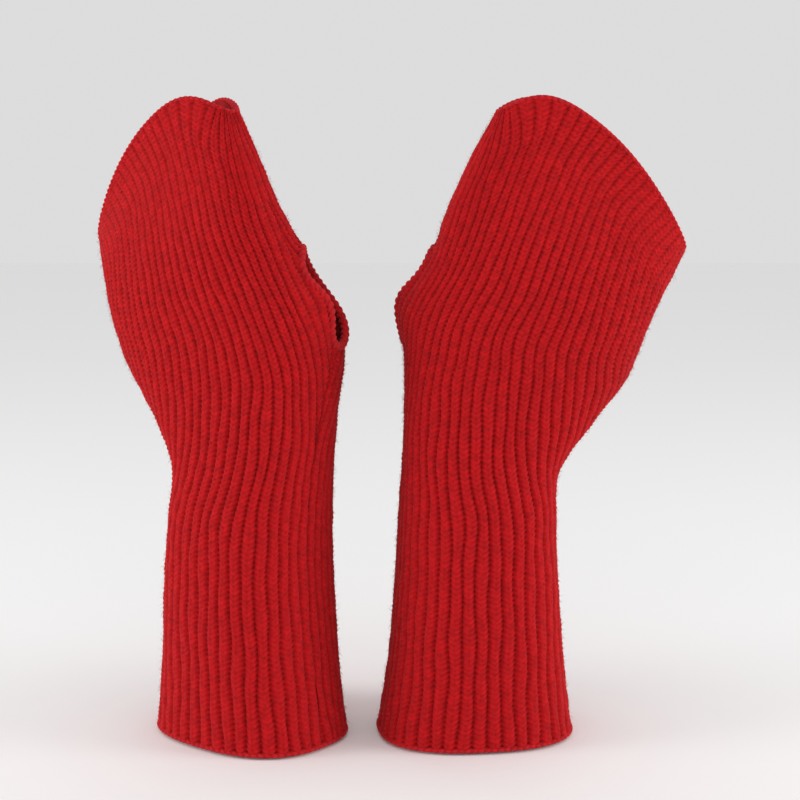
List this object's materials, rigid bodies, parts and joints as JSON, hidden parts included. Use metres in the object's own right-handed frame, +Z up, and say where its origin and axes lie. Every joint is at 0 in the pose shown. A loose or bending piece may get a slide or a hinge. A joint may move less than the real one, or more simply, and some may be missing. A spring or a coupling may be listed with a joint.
{
  "type": "fingerless gloves",
  "caption": "Pair of long fingerless gloves in thick ribbed knit: forearm tube, flared hand with an open thumb hole, and a slanted ribbed band where the fingers come out.",
  "frame": {"origin": "on the floor under the middle of the pair's bounding box", "axes": "+X to the right across the pair, from the left-hand glove to the right-hand one; +Y away from the viewer; +Z up from the hems to the finger openings"},
  "size_m": [0.2413, 0.101, 0.2542],
  "materials": {
    "knit_wool": "soft ribbed wool knit, matt with a fine fuzz",
    "edge_yarn": "rolled cast-on and bound-off edge, fuzzy",
    "seam_yarn": "linked seam in the same yarn"
  },
  "bodies": {
    "left_cuff": {"left_hem_edge": "edge_yarn", "left_forearm_tube": "knit_wool", "left_wrist_tube": "knit_wool", "left_forearm_seam": "seam_yarn", "left_wrist_seam": "seam_yarn"},
    "left_hand": {"left_hand_tube": "knit_wool", "left_thumb_gusset": "knit_wool", "left_thumb_edge": "edge_yarn", "left_finger_band": "knit_wool", "left_finger_edge": "edge_yarn", "left_gusset_seam": "seam_yarn", "left_index_seam": "seam_yarn"},
    "right_cuff": {"right_hem_edge": "edge_yarn", "right_forearm_tube": "knit_wool", "right_wrist_tube": "knit_wool", "right_forearm_seam": "seam_yarn", "right_wrist_seam": "seam_yarn"},
    "right_hand": {"right_hand_tube": "knit_wool", "right_thumb_gusset": "knit_wool", "right_thumb_edge": "edge_yarn", "right_finger_band": "knit_wool", "right_finger_edge": "edge_yarn", "right_gusset_seam": "seam_yarn", "right_index_seam": "seam_yarn"}
  },
  "joints": [
    {"name": "pair_apart", "type": "slide", "parent": "left_cuff", "child": "right_cuff", "axis": [1, 0, 0], "range_m": [0, 0.12]},
    {"name": "left_wrist_bend", "type": "hinge", "parent": "left_cuff", "child": "left_hand", "pos_m": [-0.05142, -0.00836, 0.111], "axis": [0.788, -0.6157, 0], "range_deg": [-30, 45], "stiffness_Nm_per_rad": 0.08, "deforming": ["left_wrist_tube", "left_wrist_seam"]},
    {"name": "right_wrist_bend", "type": "hinge", "parent": "right_cuff", "child": "right_hand", "pos_m": [0.0362, -0.00735, 0.111], "axis": [0.9903, 0.1392, 0], "range_deg": [-30, 45], "stiffness_Nm_per_rad": 0.08, "deforming": ["right_wrist_tube", "right_wrist_seam"]}
  ]
}
